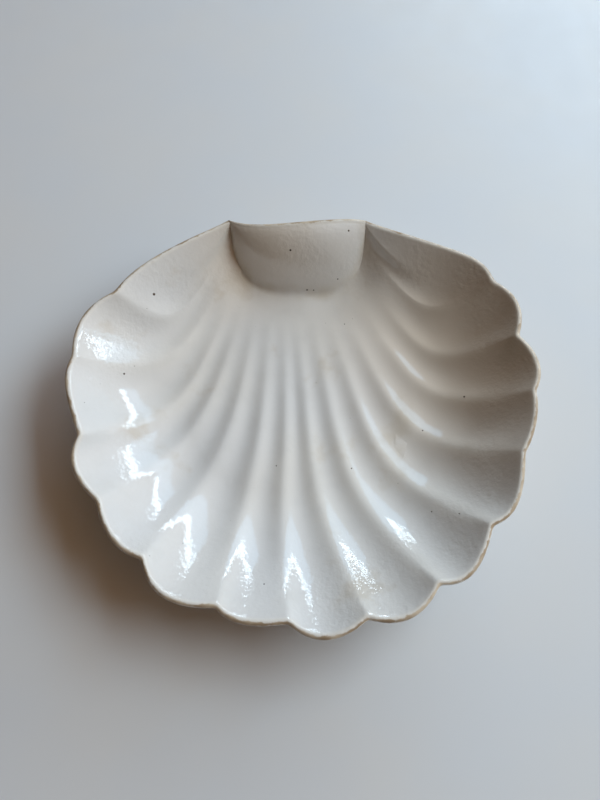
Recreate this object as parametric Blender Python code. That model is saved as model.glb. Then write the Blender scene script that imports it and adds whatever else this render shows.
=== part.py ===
"""A shell shaped platter: one piece of glazed earthenware with fifteen flutes that fan out from a
raised hinge boss to a lobed rim, on a low foot ring. Metres, +Z up, hinge towards +Y."""

import bmesh
import bpy
import numpy as np

MM = 0.001

# Overall sizes
PLATTER_WIDTH = 0.246
PLATTER_DEPTH = 0.232
RIM_HEIGHT = 0.041

# Wall and lip
FLOOR_THICKNESS = 0.0056
LIP_THICKNESS = 0.0034
LIP_LEAN = 50.0
RIM_WAVE = 0.0005
RIM_DROP = 0.003

# Bowl section: the well's floor as a share of the reach from the centre to the rim, at the sides and
# at the front, then the share of the wall that curves, and the share where the lobes begin
WELL_REACH_SHARE = 0.55
WELL_REACH_FRONT_SHARE = 0.36
WALL_CURVE_SHARE = 0.97
LOBE_START_SHARE = 0.42

# Foot ring
FOOT_HEIGHT = 0.0034
FOOT_RADIUS = 0.056
FOOT_WIDTH = 0.0045
FOOT_FLARE = 0.0012
FOOT_SEAT = 0.6

# Hinge boss, the valleys on either side of it, and the dip and rise of the rim behind it
BOSS_DEPTH = 0.0285
BOSS_BULGE = 0.0022
BOSS_CONVEX = 0.6
BOSS_CROWN = 0.005
BOSS_GATHER_SHARE = 0.6
BOSS_SQUARENESS = 2.6
VALLEY_DEPTH = 0.008
VALLEY_WIDTH = 0.014
HINGE_DIP = 0.0074
HINGE_DIP_PEAK_SHARE = 0.66
HINGE_RISE = 0.0014
HINGE_RISE_PEAK_SHARE = 0.2

# Flutes: depth for their width, in the middle and at the ears, the distances from the boss where
# they fade in, and the rounding of the ridges between them
FLUTE_DEPTH_RATIO = 0.1
EAR_DEPTH_RATIO = 0.19
EAR_DEPTH_POWER = 6
FLUTE_FADE_START = 0.01
FLUTE_FADE_END = 0.1
CREST_ROUND = 0.0035
NOTCH_ROUND_SHARE = 0.055
RIDGE_ROUND_SHARE = 0.16
RIM_RUN_SHARE = 0.6
EAR_FLUTE_SHARE = 0.8
FAN_SHIFT = 0.0063

# Ridges: the directions, in degrees, in which they leave the boss and arrive at the rim, the hook of
# the outermost ones on either side, and how long the directions hold
RIDGE_LEAVE_ANGLE = 49.0
RIDGE_LEAVE_POWER = 1.4
RIDGE_ARRIVE_SHARE = 0.734
RIDGE_ARRIVE_TWIST = 8.4
RIDGE_HOOKS = (8.0, 66.0)
RIDGE_HOOK_POWER = 6
RIDGE_LEAVE_HANDLE_SHARE = 0.68
RIDGE_ARRIVE_HANDLE_SHARE = 0.45

# Right ear, the fourteen notches round the front, left ear: bearing from the front in degrees
# (right is positive) and reach from the centre in millimetres, as drawn before scaling to size
NOTCHES = (
    (158.5, 117.8), (119.8, 126.3), (103.2, 119.0), (86.8, 117.2), (69.0, 110.8), (47.4, 109.2),
    (27.2, 110.8), (8.6, 111.9), (-9.5, 111.4), (-26.5, 112.4), (-47.2, 113.4), (-65.4, 115.8),
    (-82.6, 116.3), (-104.0, 125.5), (-124.6, 123.7), (-162.0, 122.2),
)

# Each lobe between two of those points: how far it stands out from their chord, in millimetres
# as drawn, and where it peaks along the chord
LOBES = (
    (8.8, 0.78), (8.2, 0.46), (6.4, 0.52), (2.8, 0.46), (6.4, 0.62), (7.6, 0.62), (7.6, 0.52),
    (7.6, 0.53), (4.2, 0.62), (8.6, 0.55), (5.2, 0.45), (6.6, 0.58), (4.4, 0.66), (8.0, 0.52),
    (5.4, 0.36),
)

# Mesh steps, and the angle that leaves an edge sharp
STEPS_PER_FLUTE = 6
INNER_ROWS = 24
OUTER_ROWS = 16
BOSS_ROWS = 7
LIP_ROWS = 3
FOOT_STEPS = 60
SHARP_ANGLE = 50.0

# Glaze colour
GLAZE_COLOUR = (0.80, 0.78, 0.74, 1.0)
GLAZE_ROUGHNESS = 0.12

SLOPE_STEP = 0.5 * MM
ARC_STEPS = 720
FLUTES = len(LOBES)
MIDDLE = FLUTES / 2
FLOOR_Z = FOOT_HEIGHT + FLOOR_THICKNESS


def plan_point(bearing, reach):
    """Plan position of a bearing (radians from the front, right positive) and a reach."""
    return np.stack((reach * np.sin(bearing), -reach * np.cos(bearing)), axis=-1)


def bearing_of(point):
    return np.arctan2(point[..., 0], -point[..., 1])


def smooth_step(value, low, high):
    share = np.clip((value - low) / (high - low), 0, 1)
    return share * share * (3 - 2 * share)


def skewed(share, peak):
    """Share of the way along a lobe, bent so that the lobe's middle falls at its peak."""
    rising = share * (1 - peak)
    return rising / (rising + (1 - share) * peak)


def arch(share):
    """Height of a channel's section across its width: nothing at its ridges, one between."""
    return 1 - (2 * share - 1) ** 2


def soft_arch(share, width):
    """The same section with the crest at each ridge rounded, the same on a wide flute or a narrow."""
    crest = CREST_ROUND / width
    side = np.minimum(share, 1 - share)
    eased = (np.sqrt(side ** 2 + crest ** 2) - crest) / (np.sqrt(0.25 + crest ** 2) - crest)
    return arch(eased / 2)


def flute_of(across):
    """Flute number and the share of the way over it, for a position counted in flutes."""
    number = np.clip(np.floor(across).astype(int), 0, FLUTES - 1)
    return number, across - number


def drawn_outline(across):
    """The lobed rim as drawn, in metres: chords between the notches, each with its lobe."""
    number, share = flute_of(across)
    points = plan_point(*(np.array(NOTCHES).T * [[np.pi / 180], [MM]]))
    start, end = points[number], points[number + 1]
    chord = end - start
    length = np.linalg.norm(chord, axis=-1, keepdims=True)
    outward = np.stack((-chord[..., 1], chord[..., 0]), axis=-1) / length
    centre = start + chord * share[..., None]
    outward *= np.sign(np.sum(outward * centre, axis=-1, keepdims=True))
    bulge, peak = np.array(LOBES).T
    lobe = bulge[number] * MM * arch(skewed(share, peak[number]))
    return centre + outward * lobe[..., None]


def eased_outline(across, rounding):
    """The drawn rim with its notches rounded, by a mean over a short stretch on either side."""
    reach = rounding * smooth_step(np.minimum(across, FLUTES - across), 0.0, 0.5)
    shares = np.linspace(-1, 1, 9)
    weights = 1 - shares ** 2 * 0.9
    parts = [drawn_outline(across + reach * share) * weight
             for share, weight in zip(shares, weights)]
    return sum(parts) / weights.sum()


def outline_scale():
    """Factors that bring the drawn outline to the platter's width and depth, and its middle."""
    drawn = eased_outline(np.linspace(0, FLUTES, 40 * FLUTES + 1), NOTCH_ROUND_SHARE)
    low, high = drawn.min(axis=0), drawn.max(axis=0)
    lips = 2 * LIP_THICKNESS * np.sin(np.radians(LIP_LEAN))
    return (np.array((PLATTER_WIDTH, PLATTER_DEPTH)) - lips) / (high - low), (low + high) / 2


SCALE, DRAWN_MIDDLE = outline_scale()


def outline(across, rounding=NOTCH_ROUND_SHARE):
    """The lobed rim's inner edge in plan."""
    return (eased_outline(across, rounding) - DRAWN_MIDDLE) * SCALE


KNOTS = outline(np.arange(FLUTES + 1.0))
KNOT_BEARINGS = bearing_of(KNOTS)
KNOT_REACHES = np.linalg.norm(KNOTS, axis=-1)


def mean_reach(bearing):
    """Reach of the smooth rim that runs through the notches and on behind the boss."""
    turn = 2 * np.pi
    angles = KNOT_BEARINGS[::-1]
    reaches = KNOT_REACHES[::-1]
    angles = np.concatenate((angles[-2:] - turn, angles, angles[:2] + turn))
    reaches = np.concatenate((reaches[-2:], reaches, reaches[:2]))
    slopes = np.gradient(reaches, angles)
    place = np.clip(np.searchsorted(angles, bearing) - 1, 0, len(angles) - 2)
    step = angles[place + 1] - angles[place]
    share = (bearing - angles[place]) / step
    low, high = reaches[place], reaches[place + 1]
    rise_low, rise_high = slopes[place] * step, slopes[place + 1] * step
    ease = share * share * (3 - 2 * share)
    return (low + (high - low) * ease + rise_low * share * (1 - share) ** 2
            - rise_high * share ** 2 * (1 - share))


def frontness(bearing):
    """One towards the front of the dish, nothing at its sides and behind."""
    return np.maximum(np.cos(bearing), 0) ** 2


def wall_climb(point):
    """How far up the wall a plan point lies: nothing on the well's floor, one at the rim."""
    bearing = bearing_of(point)
    share = np.linalg.norm(point, axis=-1) / mean_reach(bearing)
    well = WELL_REACH_SHARE + (WELL_REACH_FRONT_SHARE - WELL_REACH_SHARE) * frontness(bearing)
    return np.clip((share - well) / (1 - well), 0, 1.2)


def bowl_height(point):
    """Height of the bowl's ridges at a plan point: a flat floor, a curve, then a straight wall."""
    climb = wall_climb(point)
    curve = np.minimum(climb, WALL_CURVE_SHARE)
    rise = (curve ** 2 / (2 * WALL_CURVE_SHARE) + climb - curve) / (1 - WALL_CURVE_SHARE / 2)
    rim = RIM_HEIGHT - RIM_DROP * frontness(bearing_of(point))
    return FLOOR_Z + (rim - FLOOR_Z) * rise


def bowl_fall(point):
    """Unit direction out of the bowl's underside, square to its wall."""
    along_x = np.array((SLOPE_STEP, 0.0))
    along_y = np.array((0.0, SLOPE_STEP))
    slope_x = (bowl_height(point + along_x) - bowl_height(point - along_x)) / (2 * SLOPE_STEP)
    slope_y = (bowl_height(point + along_y) - bowl_height(point - along_y)) / (2 * SLOPE_STEP)
    fall = np.stack((slope_x, slope_y, -np.ones_like(slope_x)), axis=-1)
    return fall / np.linalg.norm(fall, axis=-1, keepdims=True)


def boss_arc(across):
    """Foot of the hinge boss: a U from the right ear, round its front, to the left ear."""
    right, left = KNOTS[0], KNOTS[-1]
    turns = np.linspace(-np.pi / 2, np.pi / 2, ARC_STEPS + 1)
    sideways = np.sign(turns) * np.abs(np.sin(turns)) ** (2 / BOSS_SQUARENESS)
    inward = np.abs(np.cos(turns)) ** (2 / BOSS_SQUARENESS)
    ear_line = (right + left) / 2 + (left - right) / 2 * sideways[:, None]
    arc = ear_line - np.array((0.0, BOSS_DEPTH)) * inward[:, None]
    run = np.concatenate(([0], np.cumsum(np.linalg.norm(np.diff(arc, axis=0), axis=1))))
    ear = EAR_FLUTE_SHARE
    ticks = np.concatenate(([0], ear + np.arange(FLUTES - 1.0), [2 * ear + FLUTES - 2]))
    place = np.interp(across, np.arange(FLUTES + 1.0), ticks) / ticks[-1]
    place = place * run[-1] + FAN_SHIFT * np.sin(np.pi * place)
    return np.stack((np.interp(place, run, arc[:, 0]), np.interp(place, run, arc[:, 1])), axis=-1)


def hinge_edge(across):
    """Rim between the ears, behind the boss, with an inward dip, and how far the rim rises there.
    Lines up the boss gather towards its middle, so that its flanks turn to the sides."""
    right, left = KNOTS[0], KNOTS[-1]
    side = (2 * boss_arc(across)[..., 0] - right[0] - left[0]) / (left[0] - right[0])
    side = np.clip(side, -1, 1)
    side = side * (1 - BOSS_GATHER_SHARE) + side ** 3 * BOSS_GATHER_SHARE
    share = (1 + side) / 2
    dip = HINGE_DIP * arch(skewed(share, HINGE_DIP_PEAK_SHARE))
    dip -= HINGE_RISE * arch(skewed(share, HINGE_RISE_PEAK_SHARE))
    edge = right + (left - right) * share[..., None]
    edge[..., 1] -= dip
    return edge, BOSS_CROWN * arch(share)


def ridge_line(across, along):
    """Plan position along the line that leaves the boss and runs out to the smooth rim."""
    start = boss_arc(across)
    rim = outline(across)
    bearing = bearing_of(rim)
    end = plan_point(bearing, mean_reach(bearing))
    side = (MIDDLE - across) / MIDDLE
    leave = np.sign(side) * np.radians(RIDGE_LEAVE_ANGLE) * np.abs(side) ** RIDGE_LEAVE_POWER
    arrive = bearing * RIDGE_ARRIVE_SHARE + np.radians(RIDGE_ARRIVE_TWIST)
    hook = np.radians(np.where(side > 0, *RIDGE_HOOKS)) * np.abs(side) ** RIDGE_HOOK_POWER
    arrive += np.sign(side) * hook
    length = np.linalg.norm(end - start, axis=-1)
    first = start + plan_point(leave, RIDGE_LEAVE_HANDLE_SHARE * length)
    second = end - plan_point(arrive, RIDGE_ARRIVE_HANDLE_SHARE * length)
    rest = 1 - along
    return (start * (rest ** 3)[..., None] + first * (3 * rest ** 2 * along)[..., None]
            + second * (3 * rest * along ** 2)[..., None] + end * (along ** 3)[..., None])


def flute_width(across, along):
    """Width of the flute that a point lies in, measured at the same way along."""
    number, _ = flute_of(across)
    right_ridge = ridge_line(number + 0.0, along)
    left_ridge = ridge_line(number + 1.0, along)
    return np.linalg.norm(left_ridge - right_ridge, axis=-1)


def boss_valley(across, point):
    """Depth of the valley that runs along either side of the boss, out from its foot."""
    side = np.abs(MIDDLE - across) / MIDDLE
    beside = side ** 1.5 * (1 - side ** 6)
    away = np.linalg.norm(point - boss_arc(across), axis=-1)
    return VALLEY_DEPTH * beside * np.exp(-(away / VALLEY_WIDTH) ** 2)


def lobe_reach(across, rounding):
    """How far the lobed rim stands out from the smooth rim through its notches."""
    rim = outline(across, rounding)
    return np.linalg.norm(rim, axis=-1) - mean_reach(bearing_of(rim))


def flute_depths(across, along, point):
    """How far the inner and the outer face stand out from the bowl of the ridges."""
    number, share = flute_of(across)
    beside = ((MIDDLE - number - 0.5) / MIDDLE) ** EAR_DEPTH_POWER
    share += (skewed(share, np.array(LOBES)[number, 1]) - share) * beside
    climb = wall_climb(point)
    at_lip = smooth_step(climb, 0.75, 1.0)
    lobe = (lobe_reach(across, NOTCH_ROUND_SHARE) * at_lip
            + lobe_reach(across, RIDGE_ROUND_SHARE) * (1 - at_lip))
    away = np.linalg.norm(point - boss_arc(across), axis=-1)
    fade = smooth_step(away, FLUTE_FADE_START, FLUTE_FADE_END)
    width = flute_width(across, along)
    ratio = FLUTE_DEPTH_RATIO + (EAR_DEPTH_RATIO - FLUTE_DEPTH_RATIO) * beside
    channel = ratio * width * fade
    near_rim = smooth_step(climb, LOBE_START_SHARE, 1.0) * smooth_step(along, 0.0, RIM_RUN_SHARE)
    inner = channel * soft_arch(share, width) * (1 - near_rim) + lobe * near_rim
    rounded = channel * np.sin(np.pi * share) ** 2
    outer = rounded * (1 - near_rim) * smooth_step(climb, 0.0, LOBE_START_SHARE) + lobe * near_rim
    return inner, outer


def wall_thickness(climb):
    return FLOOR_THICKNESS + (LIP_THICKNESS - FLOOR_THICKNESS) * smooth_step(climb, 0, 1)


def rim_wave(across):
    """Slight unevenness of the lip's height."""
    return RIM_WAVE * (np.sin(2.1 * across + 0.7) + np.sin(0.9 * across + 2.0))


def bowl_faces(across, along):
    """Inner and outer face of the fluted bowl at a grid of positions."""
    point = ridge_line(across, along)
    climb = wall_climb(point)
    inner_depth, outer_depth = flute_depths(across, along, point)
    fall = bowl_fall(point)
    level = smooth_step(climb, LOBE_START_SHARE, 1.0)[..., None]
    outward = plan_point(bearing_of(point), np.ones_like(climb))
    flat = np.concatenate((outward, np.zeros_like(level)), axis=-1)
    push = fall * (1 - level) + flat * level
    height = bowl_height(point) + rim_wave(across) * climb - boss_valley(across, point)
    base = np.concatenate((point, height[..., None]), axis=-1)
    inner = base + push * inner_depth[..., None]
    outer = base + push * outer_depth[..., None] + fall * wall_thickness(climb)[..., None]
    return inner, outer


def boss_face(rise, low, high):
    """Convex face of the hinge boss, between its foot and the hinge edge."""
    share = rise + BOSS_CONVEX * rise * (1 - rise)
    level = low[..., 2] + (high[..., 2] - low[..., 2]) * share
    plan = low[..., :2] + (high[..., :2] - low[..., :2]) * rise[..., None]
    span = np.linalg.norm(high[..., :2] - low[..., :2], axis=-1)
    bulge = BOSS_BULGE * np.sin(np.pi * rise) * smooth_step(span, 0, BOSS_DEPTH)
    return np.concatenate((plan, (level + bulge)[..., None]), axis=-1)


def up_the_wall(fall):
    """Unit direction up along a wall, from the direction square to it."""
    lift = np.array((0.0, 0.0, 1.0)) - fall * fall[..., 2:]
    return lift / np.linalg.norm(lift, axis=-1, keepdims=True)


def lip_rows(inner_edge, outer_edge, up):
    """Half round lip between the inner and outer edge, without the two edges themselves."""
    middle = (inner_edge + outer_edge) / 2
    half = (inner_edge - outer_edge) / 2
    radius = np.linalg.norm(half, axis=-1, keepdims=True)
    turns = np.pi * np.arange(1, LIP_ROWS) / LIP_ROWS
    return [middle + half * np.cos(turn) + up * radius * np.sin(turn) for turn in turns]


def shell_grids():
    """Rows of points of every face of the shell, each row from the right ear to the left."""
    across = np.linspace(0, FLUTES, STEPS_PER_FLUTE * FLUTES + 1)
    columns, rows = np.meshgrid(across, np.linspace(0, 1, INNER_ROWS + 1))
    inner, _ = bowl_faces(columns, rows)
    columns, rows = np.meshgrid(across, np.linspace(0, 1, OUTER_ROWS + 1))
    _, outer = bowl_faces(columns, rows)

    edge, crown = hinge_edge(across)
    bearing = bearing_of(edge)
    behind = plan_point(bearing, mean_reach(bearing))
    fall = bowl_fall(behind * 0.999)
    level = np.interp(across, (0, FLUTES), (inner[-1, 0, 2], inner[-1, -1, 2])) + crown
    hinge_in = np.concatenate((edge, level[:, None]), axis=-1)
    hinge_in[0], hinge_in[-1] = inner[-1, 0], inner[-1, -1]
    hinge_out = hinge_in + fall * LIP_THICKNESS
    hinge_out[0], hinge_out[-1] = outer[-1, 0], outer[-1, -1]

    _, rises = np.meshgrid(across, np.linspace(0, 1, BOSS_ROWS + 1))
    boss_in = boss_face(rises, inner[0][None], hinge_in[None])
    boss_out = boss_face(rises, outer[0][None], hinge_out[None])

    rim_fall = bowl_fall(ridge_line(across, np.full_like(across, 0.999)))
    bowl_lip = lip_rows(inner[-1], outer[-1], up_the_wall(rim_fall))
    hinge_lip = lip_rows(hinge_in, hinge_out, up_the_wall(fall))
    for bowl_row, hinge_row in zip(bowl_lip, hinge_lip):
        hinge_row[0], hinge_row[-1] = bowl_row[0], bowl_row[-1]
    bowl_grid = np.concatenate((inner, bowl_lip, outer[::-1]))
    boss_grid = np.concatenate((boss_in, hinge_lip, boss_out[::-1]))
    return bowl_grid, boss_grid


def mesh_from_grids(name, grids):
    """A closed mesh from grids of rows, with points that coincide made one."""
    places = {}
    points = []

    def index_of(point):
        key = tuple(np.round(point, 7))
        if key not in places:
            places[key] = len(points)
            points.append(tuple(point))
        return places[key]

    faces = []
    for grid, turned in grids:
        indices = [[index_of(point) for point in row] for row in grid]
        for low, high in zip(indices[:-1], indices[1:]):
            for step in range(len(low) - 1):
                corners = [low[step], low[step + 1], high[step + 1], high[step]]
                corners = [corner for i, corner in enumerate(corners) if corner != corners[i - 1]]
                if len(set(corners)) > 2:
                    faces.append(corners[::-1] if turned else corners)
    mesh = bpy.data.meshes.new(name)
    mesh.from_pydata(points, [], faces)
    mesh.validate()
    return mesh


def foot_ring():
    """Low ring under the well, wider where it meets the underside and buried in it there."""
    top = FOOT_HEIGHT + FLOOR_THICKNESS * FOOT_SEAT
    section = (
        (FOOT_RADIUS - FOOT_WIDTH, 0.0),
        (FOOT_RADIUS, 0.0),
        (FOOT_RADIUS + FOOT_FLARE, top),
        (FOOT_RADIUS - FOOT_WIDTH - FOOT_FLARE, top),
    )
    rows = []
    for radius, height in section + section[:1]:
        turns = np.linspace(0, 2 * np.pi, FOOT_STEPS + 1)
        ring = plan_point(turns, np.full_like(turns, radius))
        rows.append(np.column_stack((ring, np.full_like(turns, height))))
    return mesh_from_grids("foot_ring", [(np.array(rows), False)])


def glaze_material():
    material = bpy.data.materials.new("cream_glaze")
    material.use_nodes = True
    shader = material.node_tree.nodes["Principled BSDF"]
    shader.inputs["Base Color"].default_value = GLAZE_COLOUR
    shader.inputs["Roughness"].default_value = GLAZE_ROUGHNESS
    shader.inputs["Metallic"].default_value = 0.0
    return material


def facing_out(mesh):
    """Turn every face of a closed mesh outwards."""
    shape = bmesh.new()
    shape.from_mesh(mesh)
    bmesh.ops.recalc_face_normals(shape, faces=shape.faces)
    bmesh.ops.triangulate(shape, faces=shape.faces)
    shape.to_mesh(mesh)
    shape.free()


def centre_on_foot(mesh):
    """Put the origin under the middle of the platter's box, on the surface it stands on."""
    points = np.array([vertex.co for vertex in mesh.vertices])
    low, high = points.min(axis=0), points.max(axis=0)
    middle = (low + high) / 2
    for vertex in mesh.vertices:
        vertex.co = (vertex.co[0] - middle[0], vertex.co[1] - middle[1], vertex.co[2] - low[2])


def build_platter():
    bowl_grid, boss_grid = shell_grids()
    mesh = mesh_from_grids("shell_platter", [(bowl_grid, False), (boss_grid, True)])
    facing_out(mesh)
    platter = bpy.data.objects.new("shell_platter", mesh)
    bpy.context.scene.collection.objects.link(platter)

    ring_mesh = foot_ring()
    facing_out(ring_mesh)
    ring = bpy.data.objects.new("foot_cutter", ring_mesh)
    ring.hide_render = True
    ring.display_type = "WIRE"
    bpy.context.scene.collection.objects.link(ring)

    union = platter.modifiers.new("foot", "BOOLEAN")
    union.operation = "UNION"
    union.solver = "EXACT"
    union.object = ring
    bpy.context.view_layer.update()
    whole = bpy.data.meshes.new_from_object(platter.evaluated_get(bpy.context.evaluated_depsgraph_get()))
    platter.modifiers.clear()
    platter.data = whole
    whole.name = "shell_platter"
    bpy.data.objects.remove(ring, do_unlink=True)

    centre_on_foot(whole)
    whole.materials.clear()
    whole.materials.append(glaze_material())
    whole.shade_smooth()
    whole.set_sharp_from_angle(angle=np.radians(SHARP_ANGLE))


def main():
    for item in list(bpy.data.objects):
        bpy.data.objects.remove(item, do_unlink=True)
    build_platter()


main()
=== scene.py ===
"""The looks of the shell shaped platter: a fine mesh of the dish in its glaze, on a pale table under
soft window light. Metres, +Z up, hinge towards +Y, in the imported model's frame."""

import bmesh
import bpy
import numpy as np
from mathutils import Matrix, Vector, kdtree, noise


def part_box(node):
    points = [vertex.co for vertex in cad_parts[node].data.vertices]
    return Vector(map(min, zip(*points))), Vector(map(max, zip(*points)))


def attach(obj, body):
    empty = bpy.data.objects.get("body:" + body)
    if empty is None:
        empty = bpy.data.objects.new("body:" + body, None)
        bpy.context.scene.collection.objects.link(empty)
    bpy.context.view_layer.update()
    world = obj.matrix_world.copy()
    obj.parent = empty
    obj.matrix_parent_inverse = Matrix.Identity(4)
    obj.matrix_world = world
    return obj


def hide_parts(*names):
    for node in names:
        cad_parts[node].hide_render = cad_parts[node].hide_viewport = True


NODE = "shell_platter"
MM = 0.001

# Sizes of the dish, the same as the solid's
PLATTER_WIDTH = 0.246
PLATTER_DEPTH = 0.232
RIM_HEIGHT = 0.041
FLOOR_THICKNESS = 0.0056
LIP_THICKNESS = 0.0034
LIP_LEAN = 50.0
RIM_WAVE = 0.0005
RIM_DROP = 0.003
WELL_REACH_SHARE = 0.55
WELL_REACH_FRONT_SHARE = 0.36
WALL_CURVE_SHARE = 0.97
LOBE_START_SHARE = 0.42
FOOT_HEIGHT = 0.0034
FOOT_RADIUS = 0.056
FOOT_WIDTH = 0.0045
FOOT_FLARE = 0.0012
FOOT_SEAT = 0.6
BOSS_DEPTH = 0.0285
BOSS_BULGE = 0.0022
BOSS_CONVEX = 0.6
BOSS_CROWN = 0.005
BOSS_GATHER_SHARE = 0.6
BOSS_SQUARENESS = 2.6
VALLEY_DEPTH = 0.008
VALLEY_WIDTH = 0.014
HINGE_DIP = 0.0074
HINGE_DIP_PEAK_SHARE = 0.66
HINGE_RISE = 0.0014
HINGE_RISE_PEAK_SHARE = 0.2
NOTCH_ROUND_SHARE = 0.055
RIDGE_ROUND_SHARE = 0.16
FLUTE_DEPTH_RATIO = 0.1
EAR_DEPTH_RATIO = 0.19
EAR_DEPTH_POWER = 6
FLUTE_FADE_START = 0.01
FLUTE_FADE_END = 0.1
RIM_RUN_SHARE = 0.6
EAR_FLUTE_SHARE = 0.8
FAN_SHIFT = 0.0063
RIDGE_LEAVE_ANGLE = 49.0
RIDGE_LEAVE_POWER = 1.4
RIDGE_ARRIVE_SHARE = 0.734
RIDGE_ARRIVE_TWIST = 8.4
RIDGE_HOOKS = (8.0, 66.0)
RIDGE_HOOK_POWER = 6
RIDGE_LEAVE_HANDLE_SHARE = 0.68
RIDGE_ARRIVE_HANDLE_SHARE = 0.45

# Right ear, notches round the front, left ear: bearing in degrees and reach in millimetres
NOTCHES = (
    (158.5, 117.8), (119.8, 126.3), (103.2, 119.0), (86.8, 117.2), (69.0, 110.8), (47.4, 109.2),
    (27.2, 110.8), (8.6, 111.9), (-9.5, 111.4), (-26.5, 112.4), (-47.2, 113.4), (-65.4, 115.8),
    (-82.6, 116.3), (-104.0, 125.5), (-124.6, 123.7), (-162.0, 122.2),
)

# Lobes between them: height over the chord in millimetres, and place of the peak
LOBES = (
    (8.8, 0.78), (8.2, 0.46), (6.4, 0.52), (2.8, 0.46), (6.4, 0.62), (7.6, 0.62), (7.6, 0.52),
    (7.6, 0.53), (4.2, 0.62), (8.6, 0.55), (5.2, 0.45), (6.6, 0.58), (4.4, 0.66), (8.0, 0.52),
    (5.4, 0.36),
)

# How the parts of the shape ease into each other, the same as in the solid
ROUNDING_SAMPLES = 9
ROUNDING_FALL = 0.9
CLIMB_LIMIT = 1.2
LIP_EASE_SHARE = 0.75
VALLEY_POWERS = (1.5, 6)
RIM_WAVES = ((2.1, 0.7), (0.9, 2.0))
SCALE_STEPS_PER_FLUTE = 40
ARC_STEPS = 720
SLOPE_STEP = 0.5 * MM
INSIDE_RIM = 0.999

# Finer than the solid: mesh steps, rounding of the ridges' crests, hand-made unevenness
STEPS_PER_FLUTE = 22
INNER_ROWS = 112
OUTER_ROWS = 48
BOSS_ROWS = 26
MERGE_DIGITS = 7
LIP_ROWS = 9
FOOT_STEPS = 180
CREST_CROWDING = 0.75
FOOT_ROUND = 0.0006
CREST_ROUND = 0.0035
SHARP_ANGLE = 60.0
SWELLS = ((0.028, 0.00025), (0.010, 0.00005))

# Camera, from the photograph: degrees and metres, round a point at the rim's height
CAMERA_ELEVATION = 65.0
CAMERA_AZIMUTH = -6.34
CAMERA_ROLL = 2.0
CAMERA_DISTANCE = 0.3048
CAMERA_TARGET = (-0.0042, -0.0024, 0.040)
CAMERA_FOCUS_PX = 601.0
IMAGE_HEIGHT_PX = 800.0
SENSOR_MM = 36.0
CAMERA_NEAR = 0.01

# Glaze, wear and clay colours, with the colours of painted shade and a painted highlight
GLAZE_COOL = (0.67, 0.665, 0.65, 1.0)
GLAZE_WARM = (0.69, 0.67, 0.63, 1.0)
GLAZE_GREY = (0.605, 0.595, 0.57, 1.0)
GLAZE_POOLED = (0.635, 0.635, 0.635, 1.0)
# Brown of the painted shade on the walls that face away from the light
SHADE_BROWN = (0.61, 0.51, 0.40, 1.0)
# Stain brown, also used for the painted shade in the crease at the boss's foot
STAIN_AND_SHADE = (0.50, 0.43, 0.33, 1.0)
# Colour of the painted highlight along the top of the lip
LIP_HIGHLIGHT = (0.74, 0.70, 0.62, 1.0)
LIP_WORN = (0.36, 0.27, 0.18, 1.0)
LIP_BARE = (0.60, 0.51, 0.39, 1.0)
PINHOLE = (0.055, 0.04, 0.03, 1.0)
CLAY = (0.58, 0.45, 0.33, 1.0)
TABLE_COOL = (0.65, 0.67, 0.69, 1.0)
TABLE_WARM = (0.67, 0.675, 0.675, 1.0)

# Painted shade: brown areas of the glaze on the right wall and the boss's left flank, which face away
# from the light; middle, full within, gone beyond, and share of the tone
SHADE_PAINTED_PLACES = (((0.105, 0.032, 0.035), 0.02, 0.12, 0.8), ((-0.02, 0.1, 0.04), 0.0, 0.06, 0.65))

# Spacing of the glaze's patterns in metres
MOTTLE_SPACING = 0.075
FLECK_SPACING = 0.011
STAIN_SPACING = 0.034
WEAR_SPACING = 0.006
SPECK_SPACING = 0.0021
SPECK_PATCH_SPACING = 0.019
GLOSS_SPACING = 0.016
RIPPLE_SPACING = 0.03
PEEL_SPACING = 0.0026
GRAIN_SPACING = 0.0009

# Strength of the patterns: shares of a colour, reaches in millimetres, heights in metres
FLECK_SHARE = 0.35
POOLED_REACH = (2.0, 9.0)
POOLED_SHARE = 0.3
# Painted shade in the crease at the boss's foot: reach in millimetres and share
CREASE_SHADE_REACH = (0.5, 7.0)
CREASE_SHADE_SHARE = 0.55
STAIN_SHARE = 0.4
WEAR_SWING = 4.0
WEAR_SHIFT = -1.5
WEAR_EDGE = 0.7
# Painted highlight along the top of the lip: reach in millimetres and share
LIP_HIGHLIGHT_REACH = (1.2, 3.4)
LIP_HIGHLIGHT_SHARE = 0.5
PINHOLE_EDGES = (0.6, 1.5)
BARE_HEIGHTS = (0.0004, 0.0011)
RIPPLE_HEIGHTS = (0.01, 0.026)
RIPPLE_LEAST = 0.5
FLOOR_RIPPLE = 0.12
PIT_DEPTH = 4.0
PEEL_HEIGHT = 0.00027
GRAIN_HEIGHT = 0.00002

# Gloss of the glaze, and how much rougher the worn lip and the bare foot are
GLAZE_GLOSS = (0.05, 0.12)
WORN_ROUGHER = 0.25
BARE_ROUGHER = 0.5
GLAZE_IOR = 1.6

# Table top: half its side, how far it lies below the foot, its finish
TABLE_HALF = 1.5
TABLE_DROP = 0.0002
TABLE_CLOUD_SPACING = 0.09
TABLE_GLOSS_SPACING = 0.02
TABLE_GRAIN_SPACING = 0.0015
TABLE_GLOSS = (0.42, 0.55)
TABLE_SPECULAR = 0.35
TABLE_GRAIN_HEIGHT = 0.00001

# Pinholes in the glaze: plan position and radius in millimetres
PINHOLES = (
    (-2.3, 94.3, 0.55), (-81.4, 75.4, 0.7), (7.1, 82.2, 0.5), (10.9, 81.8, 0.4), (32.2, 102.7, 0.5),
    (26.0, 85.5, 0.4), (88.4, 4.1, 0.5), (63.7, -11.9, 0.4), (43.1, 8.5, 0.35), (-28.8, -89.6, 0.35),
    (-18.4, -25.1, 0.3), (58.9, -59.7, 0.35), (68.7, -63.1, 0.35), (-98.5, 28.4, 0.5), (28.3, 59.5, 0.3),
)

# How near a pinhole the highest point is looked for, and how far under it the upper face may lie
PINHOLE_SEARCH = 2.5 * MM
PINHOLE_FACE = 5.5 * MM

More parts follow.
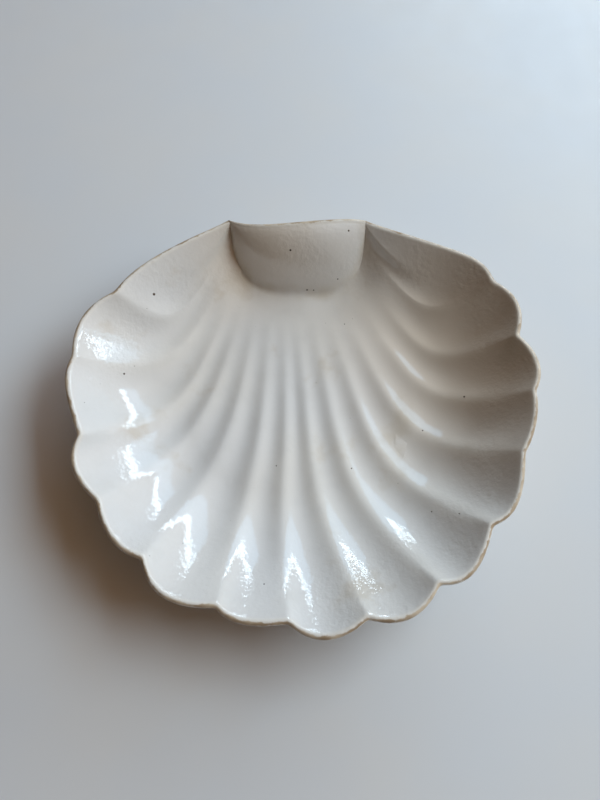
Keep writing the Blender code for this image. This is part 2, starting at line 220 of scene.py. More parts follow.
# Light, bearings from the far side towards the right: a window, its bright sill, and soft light of
# the sky that no reflection shows
WINDOW = {"bearing": 42.0, "elevation": 31.0, "tilt": 12.0, "distance": 2.2, "width": 2.5,
          "height": 0.75, "radiance": 2.3, "colour": (0.4, 0.7, 1.0), "glossy": True}
SILL = {"bearing": 40.0, "elevation": 20.5, "tilt": 12.0, "distance": 2.2, "width": 2.3,
        "height": 0.15, "radiance": 12.0, "colour": (0.72, 0.88, 1.0), "glossy": True}
SKY = {"bearing": 80.0, "elevation": 46.0, "tilt": 0.0, "distance": 1.5, "width": 1.2,
       "height": 0.65, "radiance": 7.9, "colour": (0.69, 0.86, 0.97), "glossy": False}

# The room's own warm light: the side it comes from, how fast it fades round, its two colours
ROOM_BRIGHT_SIDE = (0.8, 0.2, 0.56)
ROOM_FALL = 4.0
ROOM_BRIGHT = (0.70, 0.42, 0.23, 1.0)
ROOM_DIM = (0.012, 0.008, 0.005, 1.0)

FLUTES = len(LOBES)
MIDDLE = FLUTES / 2
FLOOR_Z = FOOT_HEIGHT + FLOOR_THICKNESS


def plan_point(bearing, reach):
    """Plan position of a bearing (radians from the front, right positive) and a reach."""
    return np.stack((reach * np.sin(bearing), -reach * np.cos(bearing)), axis=-1)


def bearing_of(point):
    return np.arctan2(point[..., 0], -point[..., 1])


def smooth_step(value, low, high):
    share = np.clip((value - low) / (high - low), 0, 1)
    return share * share * (3 - 2 * share)


def skewed(share, peak):
    """Share of the way along a lobe, bent so that the lobe's middle falls at its peak."""
    rising = share * (1 - peak)
    return rising / (rising + (1 - share) * peak)


def arch(share):
    """Height of a channel's section across its width: nothing at its ridges, one between."""
    return 1 - (2 * share - 1) ** 2


def soft_arch(share, width):
    """The same section with the crest at each ridge rounded, the same on a wide flute or a narrow."""
    crest = CREST_ROUND / width
    side = np.minimum(share, 1 - share)
    eased = (np.sqrt(side ** 2 + crest ** 2) - crest) / (np.sqrt(0.25 + crest ** 2) - crest)
    return arch(eased / 2)


def flute_of(across):
    """Flute number and the share of the way over it, for a position counted in flutes."""
    number = np.clip(np.floor(across).astype(int), 0, FLUTES - 1)
    return number, across - number


def drawn_outline(across):
    """The lobed rim as drawn, in metres: chords between the notches, each with its lobe."""
    number, share = flute_of(across)
    points = plan_point(*(np.array(NOTCHES).T * [[np.pi / 180], [MM]]))
    start, end = points[number], points[number + 1]
    chord = end - start
    length = np.linalg.norm(chord, axis=-1, keepdims=True)
    outward = np.stack((-chord[..., 1], chord[..., 0]), axis=-1) / length
    centre = start + chord * share[..., None]
    outward *= np.sign(np.sum(outward * centre, axis=-1, keepdims=True))
    bulge, peak = np.array(LOBES).T
    lobe = bulge[number] * MM * arch(skewed(share, peak[number]))
    return centre + outward * lobe[..., None]


def eased_outline(across, rounding):
    """The drawn rim with its notches rounded, by a mean over a short stretch on either side."""
    reach = rounding * smooth_step(np.minimum(across, FLUTES - across), 0.0, 0.5)
    shares = np.linspace(-1, 1, ROUNDING_SAMPLES)
    weights = 1 - shares ** 2 * ROUNDING_FALL
    parts = [drawn_outline(across + reach * share) * weight
             for share, weight in zip(shares, weights)]
    return sum(parts) / weights.sum()


def outline_scale():
    """Factors that bring the drawn outline to the platter's width and depth, and its middle."""
    across = np.linspace(0, FLUTES, SCALE_STEPS_PER_FLUTE * FLUTES + 1)
    drawn = eased_outline(across, NOTCH_ROUND_SHARE)
    low, high = drawn.min(axis=0), drawn.max(axis=0)
    lips = 2 * LIP_THICKNESS * np.sin(np.radians(LIP_LEAN))
    return (np.array((PLATTER_WIDTH, PLATTER_DEPTH)) - lips) / (high - low), (low + high) / 2


SCALE, DRAWN_MIDDLE = outline_scale()


def outline(across, rounding=NOTCH_ROUND_SHARE):
    """The lobed rim's inner edge in plan."""
    return (eased_outline(across, rounding) - DRAWN_MIDDLE) * SCALE


KNOTS = outline(np.arange(FLUTES + 1.0))
KNOT_BEARINGS = bearing_of(KNOTS)
KNOT_REACHES = np.linalg.norm(KNOTS, axis=-1)


def mean_reach(bearing):
    """Reach of the smooth rim that runs through the notches and on behind the boss."""
    turn = 2 * np.pi
    angles = KNOT_BEARINGS[::-1]
    reaches = KNOT_REACHES[::-1]
    angles = np.concatenate((angles[-2:] - turn, angles, angles[:2] + turn))
    reaches = np.concatenate((reaches[-2:], reaches, reaches[:2]))
    slopes = np.gradient(reaches, angles)
    place = np.clip(np.searchsorted(angles, bearing) - 1, 0, len(angles) - 2)
    step = angles[place + 1] - angles[place]
    share = (bearing - angles[place]) / step
    low, high = reaches[place], reaches[place + 1]
    rise_low, rise_high = slopes[place] * step, slopes[place + 1] * step
    ease = share * share * (3 - 2 * share)
    return (low + (high - low) * ease + rise_low * share * (1 - share) ** 2
            - rise_high * share ** 2 * (1 - share))


def frontness(bearing):
    """One towards the front of the dish, nothing at its sides and behind."""
    return np.maximum(np.cos(bearing), 0) ** 2


def wall_climb(point):
    """How far up the wall a plan point lies: nothing on the well's floor, one at the rim."""
    bearing = bearing_of(point)
    share = np.linalg.norm(point, axis=-1) / mean_reach(bearing)
    well = WELL_REACH_SHARE + (WELL_REACH_FRONT_SHARE - WELL_REACH_SHARE) * frontness(bearing)
    return np.clip((share - well) / (1 - well), 0, CLIMB_LIMIT)


def bowl_height(point):
    """Height of the bowl's ridges at a plan point: a flat floor, a curve, then a straight wall."""
    climb = wall_climb(point)
    curve = np.minimum(climb, WALL_CURVE_SHARE)
    rise = (curve ** 2 / (2 * WALL_CURVE_SHARE) + climb - curve) / (1 - WALL_CURVE_SHARE / 2)
    rim = RIM_HEIGHT - RIM_DROP * frontness(bearing_of(point))
    return FLOOR_Z + (rim - FLOOR_Z) * rise


def bowl_fall(point):
    """Unit direction out of the bowl's underside, square to its wall."""
    along_x = np.array((SLOPE_STEP, 0.0))
    along_y = np.array((0.0, SLOPE_STEP))
    slope_x = (bowl_height(point + along_x) - bowl_height(point - along_x)) / (2 * SLOPE_STEP)
    slope_y = (bowl_height(point + along_y) - bowl_height(point - along_y)) / (2 * SLOPE_STEP)
    fall = np.stack((slope_x, slope_y, -np.ones_like(slope_x)), axis=-1)
    return fall / np.linalg.norm(fall, axis=-1, keepdims=True)


def boss_arc(across):
    """Foot of the hinge boss: a U from the right ear, round its front, to the left ear."""
    right, left = KNOTS[0], KNOTS[-1]
    turns = np.linspace(-np.pi / 2, np.pi / 2, ARC_STEPS + 1)
    sideways = np.sign(turns) * np.abs(np.sin(turns)) ** (2 / BOSS_SQUARENESS)
    inward = np.abs(np.cos(turns)) ** (2 / BOSS_SQUARENESS)
    ear_line = (right + left) / 2 + (left - right) / 2 * sideways[:, None]
    arc = ear_line - np.array((0.0, BOSS_DEPTH)) * inward[:, None]
    run = np.concatenate(([0], np.cumsum(np.linalg.norm(np.diff(arc, axis=0), axis=1))))
    ear = EAR_FLUTE_SHARE
    ticks = np.concatenate(([0], ear + np.arange(FLUTES - 1.0), [2 * ear + FLUTES - 2]))
    place = np.interp(across, np.arange(FLUTES + 1.0), ticks) / ticks[-1]
    place = place * run[-1] + FAN_SHIFT * np.sin(np.pi * place)
    return np.stack((np.interp(place, run, arc[:, 0]), np.interp(place, run, arc[:, 1])), axis=-1)


def hinge_edge(across):
    """Rim between the ears, behind the boss, with an inward dip, and how far the rim rises there.
    Lines up the boss gather towards its middle, so that its flanks turn to the sides."""
    right, left = KNOTS[0], KNOTS[-1]
    side = (2 * boss_arc(across)[..., 0] - right[0] - left[0]) / (left[0] - right[0])
    side = np.clip(side, -1, 1)
    side = side * (1 - BOSS_GATHER_SHARE) + side ** 3 * BOSS_GATHER_SHARE
    share = (1 + side) / 2
    dip = HINGE_DIP * arch(skewed(share, HINGE_DIP_PEAK_SHARE))
    dip -= HINGE_RISE * arch(skewed(share, HINGE_RISE_PEAK_SHARE))
    edge = right + (left - right) * share[..., None]
    edge[..., 1] -= dip
    return edge, BOSS_CROWN * arch(share)


def ridge_line(across, along):
    """Plan position along the line that leaves the boss and runs out to the smooth rim."""
    start = boss_arc(across)
    rim = outline(across)
    bearing = bearing_of(rim)
    end = plan_point(bearing, mean_reach(bearing))
    side = (MIDDLE - across) / MIDDLE
    leave = np.sign(side) * np.radians(RIDGE_LEAVE_ANGLE) * np.abs(side) ** RIDGE_LEAVE_POWER
    arrive = bearing * RIDGE_ARRIVE_SHARE + np.radians(RIDGE_ARRIVE_TWIST)
    hook = np.radians(np.where(side > 0, *RIDGE_HOOKS)) * np.abs(side) ** RIDGE_HOOK_POWER
    arrive += np.sign(side) * hook
    length = np.linalg.norm(end - start, axis=-1)
    first = start + plan_point(leave, RIDGE_LEAVE_HANDLE_SHARE * length)
    second = end - plan_point(arrive, RIDGE_ARRIVE_HANDLE_SHARE * length)
    rest = 1 - along
    return (start * (rest ** 3)[..., None] + first * (3 * rest ** 2 * along)[..., None]
            + second * (3 * rest * along ** 2)[..., None] + end * (along ** 3)[..., None])


def flute_width(across, along):
    """Width of the flute that a point lies in, measured at the same way along."""
    number, _ = flute_of(across)
    right_ridge = ridge_line(number + 0.0, along)
    left_ridge = ridge_line(number + 1.0, along)
    return np.linalg.norm(left_ridge - right_ridge, axis=-1)


def boss_valley(across, point):
    """Depth of the valley that runs along either side of the boss, out from its foot."""
    side = np.abs(MIDDLE - across) / MIDDLE
    rise, fall = VALLEY_POWERS
    beside = side ** rise * (1 - side ** fall)
    away = np.linalg.norm(point - boss_arc(across), axis=-1)
    return VALLEY_DEPTH * beside * np.exp(-(away / VALLEY_WIDTH) ** 2)


def lobe_reach(across, rounding):
    """How far the lobed rim stands out from the smooth rim through its notches."""
    rim = outline(across, rounding)
    return np.linalg.norm(rim, axis=-1) - mean_reach(bearing_of(rim))


def flute_depths(across, along, point):
    """How far the inner and the outer face stand out from the bowl of the ridges."""
    number, share = flute_of(across)
    beside = ((MIDDLE - number - 0.5) / MIDDLE) ** EAR_DEPTH_POWER
    share += (skewed(share, np.array(LOBES)[number, 1]) - share) * beside
    climb = wall_climb(point)
    at_lip = smooth_step(climb, LIP_EASE_SHARE, 1.0)
    lobe = (lobe_reach(across, NOTCH_ROUND_SHARE) * at_lip
            + lobe_reach(across, RIDGE_ROUND_SHARE) * (1 - at_lip))
    away = np.linalg.norm(point - boss_arc(across), axis=-1)
    fade = smooth_step(away, FLUTE_FADE_START, FLUTE_FADE_END)
    width = flute_width(across, along)
    ratio = FLUTE_DEPTH_RATIO + (EAR_DEPTH_RATIO - FLUTE_DEPTH_RATIO) * beside
    channel = ratio * width * fade
    near_rim = smooth_step(climb, LOBE_START_SHARE, 1.0) * smooth_step(along, 0.0, RIM_RUN_SHARE)
    inner = channel * soft_arch(share, width) * (1 - near_rim) + lobe * near_rim
    rounded = channel * np.sin(np.pi * share) ** 2
    outer = rounded * (1 - near_rim) * smooth_step(climb, 0.0, LOBE_START_SHARE) + lobe * near_rim
    return inner, outer


def wall_thickness(climb):
    return FLOOR_THICKNESS + (LIP_THICKNESS - FLOOR_THICKNESS) * smooth_step(climb, 0, 1)


def rim_wave(across):
    """Slight unevenness of the lip's height."""
    return RIM_WAVE * sum(np.sin(pace * across + start) for pace, start in RIM_WAVES)


def bowl_faces(across, along):
    """Inner and outer face of the fluted bowl at a grid of positions."""
    point = ridge_line(across, along)
    climb = wall_climb(point)
    inner_depth, outer_depth = flute_depths(across, along, point)
    fall = bowl_fall(point)
    level = smooth_step(climb, LOBE_START_SHARE, 1.0)[..., None]
    outward = plan_point(bearing_of(point), np.ones_like(climb))
    flat = np.concatenate((outward, np.zeros_like(level)), axis=-1)
    push = fall * (1 - level) + flat * level
    height = bowl_height(point) + rim_wave(across) * climb - boss_valley(across, point)
    base = np.concatenate((point, height[..., None]), axis=-1)
    inner = base + push * inner_depth[..., None]
    outer = base + push * outer_depth[..., None] + fall * wall_thickness(climb)[..., None]
    return inner, outer


def boss_face(rise, low, high):
    """Convex face of the hinge boss, between its foot and the hinge edge."""
    share = rise + BOSS_CONVEX * rise * (1 - rise)
    level = low[..., 2] + (high[..., 2] - low[..., 2]) * share
    plan = low[..., :2] + (high[..., :2] - low[..., :2]) * rise[..., None]
    span = np.linalg.norm(high[..., :2] - low[..., :2], axis=-1)
    bulge = BOSS_BULGE * np.sin(np.pi * rise) * smooth_step(span, 0, BOSS_DEPTH)
    return np.concatenate((plan, (level + bulge)[..., None]), axis=-1)


def up_the_wall(fall):
    """Unit direction up along a wall, from the direction square to it."""
    lift = np.array((0.0, 0.0, 1.0)) - fall * fall[..., 2:]
    return lift / np.linalg.norm(lift, axis=-1, keepdims=True)


def lip_rows(inner_edge, outer_edge, up):
    """Half round lip between the inner and outer edge, without the two edges themselves."""
    middle = (inner_edge + outer_edge) / 2
    half = (inner_edge - outer_edge) / 2
    radius = np.linalg.norm(half, axis=-1, keepdims=True)
    turns = np.pi * np.arange(1, LIP_ROWS) / LIP_ROWS
    return [middle + half * np.cos(turn) + up * radius * np.sin(turn) for turn in turns]


def column_positions():
    """Positions across the flutes, closer together at the crests of the ridges."""
    step = np.arange(STEPS_PER_FLUTE) / STEPS_PER_FLUTE
    eased = step - CREST_CROWDING * np.sin(2 * np.pi * step) / (2 * np.pi)
    inside = [number + eased for number in range(FLUTES)]
    return np.append(np.concatenate(inside), float(FLUTES))


def shell_grids():
    """Rows of points of every face of the shell, each row from the right ear to the left."""
    across = column_positions()
    columns, rows = np.meshgrid(across, np.linspace(0, 1, INNER_ROWS + 1))
    inner, _ = bowl_faces(columns, rows)
    columns, rows = np.meshgrid(across, np.linspace(0, 1, OUTER_ROWS + 1))
    _, outer = bowl_faces(columns, rows)

    edge, crown = hinge_edge(across)
    bearing = bearing_of(edge)
    behind = plan_point(bearing, mean_reach(bearing))
    fall = bowl_fall(behind * INSIDE_RIM)
    level = np.interp(across, (0, FLUTES), (inner[-1, 0, 2], inner[-1, -1, 2])) + crown
    hinge_in = np.concatenate((edge, level[:, None]), axis=-1)
    hinge_in[0], hinge_in[-1] = inner[-1, 0], inner[-1, -1]
    hinge_out = hinge_in + fall * LIP_THICKNESS
    hinge_out[0], hinge_out[-1] = outer[-1, 0], outer[-1, -1]

    _, rises = np.meshgrid(across, np.linspace(0, 1, BOSS_ROWS + 1))
    boss_in = boss_face(rises, inner[0][None], hinge_in[None])
    boss_out = boss_face(rises, outer[0][None], hinge_out[None])

    rim_fall = bowl_fall(ridge_line(across, np.full_like(across, INSIDE_RIM)))
    bowl_lip = lip_rows(inner[-1], outer[-1], up_the_wall(rim_fall))
    hinge_lip = lip_rows(hinge_in, hinge_out, up_the_wall(fall))
    for bowl_row, hinge_row in zip(bowl_lip, hinge_lip):
        hinge_row[0], hinge_row[-1] = bowl_row[0], bowl_row[-1]
    bowl_grid = np.concatenate((inner, bowl_lip, outer[::-1]))
    boss_grid = np.concatenate((boss_in, hinge_lip, boss_out[::-1]))
    return bowl_grid, boss_grid


def mesh_from_grids(name, grids):
    """A closed mesh from grids of rows, with points that coincide made one."""
    places = {}
    points = []

    def index_of(point):
        key = tuple(np.round(point, MERGE_DIGITS))
        if key not in places:
            places[key] = len(points)
            points.append(tuple(point))
        return places[key]

    faces = []
    for grid, turned in grids:
        indices = [[index_of(point) for point in row] for row in grid]
        for low, high in zip(indices[:-1], indices[1:]):
            for step in range(len(low) - 1):
                corners = [low[step], low[step + 1], high[step + 1], high[step]]
                corners = [corner for i, corner in enumerate(corners) if corner != corners[i - 1]]
                if len(set(corners)) > 2:
                    faces.append(corners[::-1] if turned else corners)
    mesh = bpy.data.meshes.new(name)
    mesh.from_pydata(points, [], faces)
    mesh.validate()
    return mesh


def facing_out(mesh):
    """Turn every face of a closed mesh outwards."""
    shape = bmesh.new()
    shape.from_mesh(mesh)
    bmesh.ops.recalc_face_normals(shape, faces=shape.faces)
    shape.to_mesh(mesh)
    shape.free()


def foot_ring():
    """Low ring under the well, its standing edge rounded, buried in the underside at its top."""
    top = FOOT_HEIGHT + FLOOR_THICKNESS * FOOT_SEAT
    inside = FOOT_RADIUS - FOOT_WIDTH
    section = (
        (inside + FOOT_ROUND, 0.0),
        (FOOT_RADIUS - FOOT_ROUND, 0.0),
        (FOOT_RADIUS, FOOT_ROUND),
        (FOOT_RADIUS + FOOT_FLARE, top),
        (inside - FOOT_FLARE, top),
        (inside, FOOT_ROUND),
    )
    rows = []
    for radius, height in section + section[:1]:
        turns = np.linspace(0, 2 * np.pi, FOOT_STEPS + 1)
        ring = plan_point(turns, np.full_like(turns, radius))
        rows.append(np.column_stack((ring, np.full_like(turns, height))))
    mesh = mesh_from_grids("foot_ring", [(np.array(rows), False)])
    facing_out(mesh)
    return mesh


def mesh_points(mesh):
    points = np.empty(3 * len(mesh.vertices))
    mesh.vertices.foreach_get("co", points)
    return points.reshape(-1, 3)


def set_mesh_points(mesh, points):
    mesh.vertices.foreach_set("co", points.ravel())
    mesh.update()


def hand_made(mesh):
    """Slight swells square to the surface, as a pressed and glazed dish has, off the foot."""
    points = mesh_points(mesh)
    normals = np.empty(3 * len(mesh.vertices))
    mesh.vertices.foreach_get("normal", normals)
    swell = np.zeros(len(points))
    for spacing, height in SWELLS:
        swell += height * np.array([noise.noise(Vector(point) / spacing) for point in points])
    swell *= smooth_step(points[:, 2], FOOT_HEIGHT, FLOOR_Z)
    set_mesh_points(mesh, points + normals.reshape(-1, 3) * swell[:, None])


def fit_to_solid(mesh):
    """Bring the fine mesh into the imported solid's box: the same middle and base, no larger."""
    low, high = (np.array(corner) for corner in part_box(NODE))
    points = mesh_points(mesh)
    own_low, own_high = points.min(axis=0), points.max(axis=0)
    factor = np.minimum((high - low) / (own_high - own_low), 1.0)
    own_base = np.array((*(own_low + own_high)[:2] / 2, own_low[2]))
    base = np.array((*(low + high)[:2] / 2, low[2]))
    set_mesh_points(mesh, (points - own_base) * factor + base)


def mark_distances(mesh, bowl_grid, boss_grid):
    """Store each point's distance from the lip, the ridges and the boss's foot, in millimetres."""
    lip = INNER_ROWS + LIP_ROWS // 2
    hinge_lip = BOSS_ROWS + LIP_ROWS // 2
    columns = [number * STEPS_PER_FLUTE for number in range(1, FLUTES)]
    lines = {
        "from_lip": np.concatenate((bowl_grid[lip], boss_grid[hinge_lip])),
        "from_ridge": bowl_grid[:INNER_ROWS + 1, columns].reshape(-1, 3),
        "from_boss": boss_grid[0],
    }
    points = mesh_points(mesh)
    for name, line in lines.items():
        tree = kdtree.KDTree(len(line))
        for number, place in enumerate(line):
            tree.insert(place, number)
        tree.balance()
        away = np.array([tree.find(point)[2] for point in points]) / MM
        layer = mesh.attributes.new(name, "FLOAT", "POINT")
        layer.data.foreach_set("value", away.astype(np.float32))


def fine_platter():
    """The dish as one closed fine mesh."""
    bowl_grid, boss_grid = shell_grids()
    mesh = mesh_from_grids("platter_glazed", [(bowl_grid, False), (boss_grid, True)])
    facing_out(mesh)
    platter = bpy.data.objects.new("platter_glazed", mesh)
    ring = bpy.data.objects.new("foot_ring", foot_ring())
    bpy.context.scene.collection.objects.link(platter)
    bpy.context.scene.collection.objects.link(ring)
    union = platter.modifiers.new("foot", "BOOLEAN")
    union.operation = "UNION"
    union.solver = "EXACT"
    union.object = ring
    bpy.context.view_layer.update()
    depsgraph = bpy.context.evaluated_depsgraph_get()
    whole = bpy.data.meshes.new_from_object(platter.evaluated_get(depsgraph))
    platter.modifiers.clear()
    platter.data = whole
    bpy.data.objects.remove(ring, do_unlink=True)
    hand_made(whole)
    mark_distances(whole, bowl_grid, boss_grid)
    fit_to_solid(whole)
    whole.shade_smooth()
    whole.set_sharp_from_angle(angle=np.radians(SHARP_ANGLE))
    return platter


class Nodes:
    """Short calls that add and link the nodes of one material."""

    def __init__(self, name):
        self.material = bpy.data.materials.new(name)
        self.material.use_nodes = True
        self.tree = self.material.node_tree
        self.shader = self.tree.nodes["Principled BSDF"]
        self.place = self.tree.nodes.new("ShaderNodeTexCoord").outputs["Object"]

    def put(self, socket, value):
        if isinstance(value, bpy.types.NodeSocket):
            self.tree.links.new(value, socket)
        else:
            socket.default_value = value

    def noise(self, spacing, detail=2.0, roughness=0.5, place=None):
        """Noise whose features lie about this many metres apart."""
        node = self.tree.nodes.new("ShaderNodeTexNoise")
        self.put(node.inputs["Vector"], place or self.place)
        node.inputs["Scale"].default_value = 1 / spacing
        node.inputs["Detail"].default_value = detail
        node.inputs["Roughness"].default_value = roughness
        return node.outputs["Fac"]

    def stored(self, name):
        node = self.tree.nodes.new("ShaderNodeAttribute")
        node.attribute_name = name
        return node.outputs["Fac"]

    def ramp(self, value, low, high, start=0.0, end=1.0):
        """Value eased from start to end between low and high."""
        node = self.tree.nodes.new("ShaderNodeMapRange")
        node.interpolation_type = "SMOOTHSTEP"
        self.put(node.inputs["Value"], value)
        for name, number in (("From Min", low), ("From Max", high), ("To Min", start), ("To Max", end)):
            node.inputs[name].default_value = number
        return node.outputs["Result"]

    def math(self, operation, first, second):
        node = self.tree.nodes.new("ShaderNodeMath")
        node.operation = operation
        self.put(node.inputs[0], first)
        self.put(node.inputs[1], second)
        return node.outputs["Value"]

    def mix(self, share, first, second):
        node = self.tree.nodes.new("ShaderNodeMix")
        node.data_type = "RGBA"
        self.put(node.inputs["Factor"], share)
        self.put(node.inputs["A"], first)
        self.put(node.inputs["B"], second)
        return node.outputs["Result"]

    def height_of(self):
        node = self.tree.nodes.new("ShaderNodeSeparateXYZ")
        self.tree.links.new(self.place, node.inputs[0])
        return node.outputs["Z"]

    def away_from(self, point):
        node = self.tree.nodes.new("ShaderNodeVectorMath")
        node.operation = "DISTANCE"
        self.tree.links.new(self.place, node.inputs[0])
        node.inputs[1].default_value = point
        return node.outputs["Value"]

    def bump(self, height, distance, normal=None):
        node = self.tree.nodes.new("ShaderNodeBump")
        self.put(node.inputs["Height"], height)
        node.inputs["Distance"].default_value = distance
        if normal:
            self.tree.links.new(normal, node.inputs["Normal"])
        return node.outputs["Normal"]


def pinhole_places(mesh):
    """Points on the upper face nearest to the pinholes' plan positions."""
    points = mesh_points(mesh)
    places = []
    for x, y, radius in PINHOLES:
        away = np.hypot(points[:, 0] - x * MM, points[:, 1] - y * MM)
        above = points[:, 2] > points[away < PINHOLE_SEARCH, 2].max() - PINHOLE_FACE
        spot = points[above][away[above].argmin()]
        places.append((*spot, radius * MM))
    return places


def glaze_colour(nodes, flecks):
    """Mottled cream: cooler where it pools, painted brown shade on the right wall and the boss's flank,
    painted shade in the crease round the boss's foot, and stains in places.
    """
    mottle = nodes.noise(MOTTLE_SPACING, 1.0)
    colour = nodes.mix(nodes.ramp(mottle, 0.35, 0.65), GLAZE_COOL, GLAZE_WARM)
    colour = nodes.mix(nodes.ramp(flecks, 0.45, 0.75, 0.0, FLECK_SHARE), colour, GLAZE_GREY)
    pooled = nodes.ramp(nodes.stored("from_ridge"), *POOLED_REACH, 0.0, POOLED_SHARE)
    colour = nodes.mix(pooled, colour, GLAZE_POOLED)
    # Painted shade: the glaze browned where the walls face away from the light
    for place, near, far, share in SHADE_PAINTED_PLACES:
        painted_shade = nodes.ramp(nodes.away_from(place), near, far, share, 0.0)
        colour = nodes.mix(painted_shade, colour, SHADE_BROWN)
    # Painted shade in the crease at the boss's foot, broken up by the flecks
    crease_shade = nodes.ramp(nodes.stored("from_boss"), *CREASE_SHADE_REACH, CREASE_SHADE_SHARE, 0.0)
    crease_shade = nodes.math("MULTIPLY", crease_shade, nodes.ramp(flecks, 0.3, 0.7))
    colour = nodes.mix(crease_shade, colour, STAIN_AND_SHADE)
    stains = nodes.ramp(nodes.noise(STAIN_SPACING, 4.0, 0.6), 0.58, 0.74, 0.0, STAIN_SHARE)
    return nodes.mix(stains, colour, STAIN_AND_SHADE)


def worn_lip(nodes, flecks, colour):
    """The lip's top painted paler as a highlight, with its uneven brown wear, and where it is worn."""
    from_lip = nodes.stored("from_lip")
    wear = nodes.math("MULTIPLY", nodes.noise(WEAR_SPACING, 4.0, 0.65), WEAR_SWING)
    wear = nodes.math("ADD", wear, WEAR_SHIFT)
    worn = nodes.ramp(nodes.math("SUBTRACT", from_lip, wear), 0.0, WEAR_EDGE, 1.0, 0.0)
    # Painted highlight along the lip's top
    lip_highlight = nodes.ramp(from_lip, *LIP_HIGHLIGHT_REACH, LIP_HIGHLIGHT_SHARE, 0.0)
    colour = nodes.mix(lip_highlight, colour, LIP_HIGHLIGHT)
    clay = nodes.mix(nodes.ramp(flecks, 0.35, 0.65), LIP_WORN, LIP_BARE)
    return nodes.mix(worn, colour, clay), worn


def glaze_marks(nodes, mesh):
    """Where the glaze has a pinhole or a fine speck."""
    holes = 0.0
    inside, outside = PINHOLE_EDGES
    for x, y, z, radius in pinhole_places(mesh):
        away = nodes.away_from((x, y, z))
        hole = nodes.ramp(away, inside * radius, outside * radius, 1.0, 0.0)
        holes = nodes.math("MAXIMUM", holes, hole)
    specks = nodes.ramp(nodes.noise(SPECK_SPACING, 1.0, 0.4), 0.79, 0.83)
    patches = nodes.ramp(nodes.noise(SPECK_PATCH_SPACING, 1.0), 0.5, 0.62)
    return nodes.math("MAXIMUM", holes, nodes.math("MULTIPLY", specks, patches))


def glaze_roughness(nodes, worn, bare):
    """Gloss that varies slowly, duller on the worn lip and the bare foot."""
    rough = nodes.ramp(nodes.noise(GLOSS_SPACING, 3.0), 0.4, 0.75, *GLAZE_GLOSS)
    rough = nodes.math("ADD", rough, nodes.math("MULTIPLY", worn, WORN_ROUGHER))
    return nodes.math("ADD", rough, nodes.math("MULTIPLY", bare, BARE_ROUGHER))


def glaze_relief(nodes, marks):
    """Slight ripples of the glaze, fainter on the floor, under a fine grain with the marks' pits."""
    ripples = nodes.ramp(nodes.noise(RIPPLE_SPACING, 2.0), 0.42, 0.62, RIPPLE_LEAST, 1.0)
    by_height = nodes.ramp(nodes.height_of(), *RIPPLE_HEIGHTS, FLOOR_RIPPLE, 1.0)
    ripples = nodes.math("MULTIPLY", ripples, by_height)
    peel = nodes.math("MULTIPLY", nodes.noise(PEEL_SPACING, 2.5), ripples)
    pits = nodes.math("MULTIPLY", marks, PIT_DEPTH)
    grain = nodes.math("SUBTRACT", nodes.noise(GRAIN_SPACING, 2.0), pits)
    return nodes.bump(grain, GRAIN_HEIGHT, nodes.bump(peel, PEEL_HEIGHT))


def glaze_material(mesh):
    """Cream glaze with a worn brown lip, pinholes and a bare foot."""
    nodes = Nodes("cream_glaze")
    flecks = nodes.noise(FLECK_SPACING, 3.0)
    colour, worn = worn_lip(nodes, flecks, glaze_colour(nodes, flecks))
    marks = glaze_marks(nodes, mesh)
    bare = nodes.ramp(nodes.height_of(), *BARE_HEIGHTS, 1.0, 0.0)
    colour = nodes.mix(bare, nodes.mix(marks, colour, PINHOLE), CLAY)
    nodes.put(nodes.shader.inputs["Base Color"], colour)
    nodes.put(nodes.shader.inputs["Roughness"], glaze_roughness(nodes, worn, bare))
    nodes.put(nodes.shader.inputs["Normal"], glaze_relief(nodes, marks))
    nodes.shader.inputs["IOR"].default_value = GLAZE_IOR
    return nodes.material


def table_material():
    """Pale smooth table top with a faint cloudiness."""
    nodes = Nodes("pale_table")
    cloud = nodes.ramp(nodes.noise(TABLE_CLOUD_SPACING, 3.0), 0.3, 0.7)
    nodes.put(nodes.shader.inputs["Base Color"], nodes.mix(cloud, TABLE_COOL, TABLE_WARM))
    rough = nodes.ramp(nodes.noise(TABLE_GLOSS_SPACING, 3.0), 0.3, 0.7, *TABLE_GLOSS)
    nodes.put(nodes.shader.inputs["Roughness"], rough)
    nodes.shader.inputs["Specular IOR Level"].default_value = TABLE_SPECULAR
    grain = nodes.noise(TABLE_GRAIN_SPACING, 2.0)
    nodes.put(nodes.shader.inputs["Normal"], nodes.bump(grain, TABLE_GRAIN_HEIGHT))
    return nodes.material


def add_table():
    """A wide pale table top that is part of the stage."""
    mesh = bpy.data.meshes.new("table_top")
    half = TABLE_HALF
    corners = [(-half, -half, 0), (half, -half, 0), (half, half, 0), (-half, half, 0)]
    mesh.from_pydata(corners, [], [(0, 1, 2, 3)])
    table = bpy.data.objects.new("table_top", mesh)
    table.location.z = -TABLE_DROP
    mesh.materials.append(table_material())
    bpy.context.scene.collection.objects.link(table)


def add_light(name, light):
    """A soft rectangular lamp that faces the dish."""
    bearing, elevation = np.radians((light["bearing"], light["elevation"]))
    towards = Vector((np.sin(bearing) * np.cos(elevation), np.cos(bearing) * np.cos(elevation),
                      np.sin(elevation)))
    lamp = bpy.data.lights.new(name, "AREA")
    lamp.shape = "RECTANGLE"
    lamp.size, lamp.size_y = light["width"], light["height"]
    lamp.energy = light["radiance"] * np.pi * light["width"] * light["height"]
    lamp.color = light["colour"]
    stand = bpy.data.objects.new(name, lamp)
    stand.location = towards * light["distance"]
    stand.rotation_euler = towards.to_track_quat("Z", "Y").to_euler()
    stand.rotation_euler.rotate_axis("Z", -np.radians(light["tilt"]))
    stand.visible_glossy = light["glossy"]
    bpy.context.scene.collection.objects.link(stand)


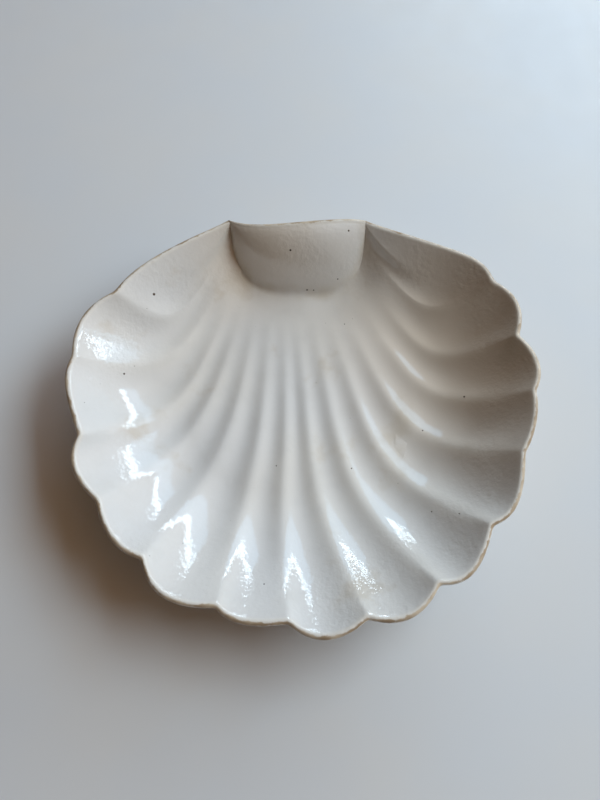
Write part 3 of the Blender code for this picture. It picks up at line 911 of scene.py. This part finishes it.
def add_room():
    """Warm light of the room: it comes from one side and fades to almost nothing on the other."""
    world = bpy.data.worlds.new("room")
    world.use_nodes = True
    tree = world.node_tree
    background = tree.nodes["Background"]
    place = tree.nodes.new("ShaderNodeTexCoord")
    side = tree.nodes.new("ShaderNodeVectorMath")
    side.operation = "DOT_PRODUCT"
    side.inputs[1].default_value = ROOM_BRIGHT_SIDE
    share = tree.nodes.new("ShaderNodeMapRange")
    share.inputs["From Min"].default_value = -1.0
    fall = tree.nodes.new("ShaderNodeMath")
    fall.operation = "POWER"
    fall.inputs[1].default_value = ROOM_FALL
    tint = tree.nodes.new("ShaderNodeMix")
    tint.data_type = "RGBA"
    tint.inputs["A"].default_value = ROOM_DIM
    tint.inputs["B"].default_value = ROOM_BRIGHT
    tree.links.new(place.outputs["Generated"], side.inputs[0])
    tree.links.new(side.outputs["Value"], share.inputs["Value"])
    tree.links.new(share.outputs["Result"], fall.inputs[0])
    tree.links.new(fall.outputs["Value"], tint.inputs["Factor"])
    tree.links.new(tint.outputs["Result"], background.inputs["Color"])
    bpy.context.scene.world = world


def add_camera():
    """The photograph's view."""
    elevation, azimuth, roll = np.radians((CAMERA_ELEVATION, CAMERA_AZIMUTH, CAMERA_ROLL))
    back = Vector((np.sin(azimuth) * np.cos(elevation), -np.cos(azimuth) * np.cos(elevation),
                   np.sin(elevation)))
    camera = bpy.data.objects.new("camera", bpy.data.cameras.new("camera"))
    camera.location = Vector(CAMERA_TARGET) + back * CAMERA_DISTANCE
    camera.rotation_euler = back.to_track_quat("Z", "Y").to_euler()
    camera.rotation_euler.rotate_axis("Z", roll)
    camera.data.lens = CAMERA_FOCUS_PX / IMAGE_HEIGHT_PX * SENSOR_MM
    camera.data.sensor_width = SENSOR_MM
    camera.data.clip_start = CAMERA_NEAR
    bpy.context.scene.collection.objects.link(camera)
    bpy.context.scene.camera = camera


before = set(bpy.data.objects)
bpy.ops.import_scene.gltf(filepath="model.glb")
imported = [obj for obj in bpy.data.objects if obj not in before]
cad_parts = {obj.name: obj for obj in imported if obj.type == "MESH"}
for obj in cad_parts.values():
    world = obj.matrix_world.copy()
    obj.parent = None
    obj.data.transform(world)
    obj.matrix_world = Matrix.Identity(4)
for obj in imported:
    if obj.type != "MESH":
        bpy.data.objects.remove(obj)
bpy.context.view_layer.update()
bpy.context.scene.view_settings.view_transform = "Standard"
add_camera()
add_light("window", WINDOW)
add_light("sill", SILL)
add_light("sky", SKY)
add_room()
add_table()
platter = fine_platter()
platter.data.materials.append(glaze_material(platter.data))
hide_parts(NODE)
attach(platter, "root")
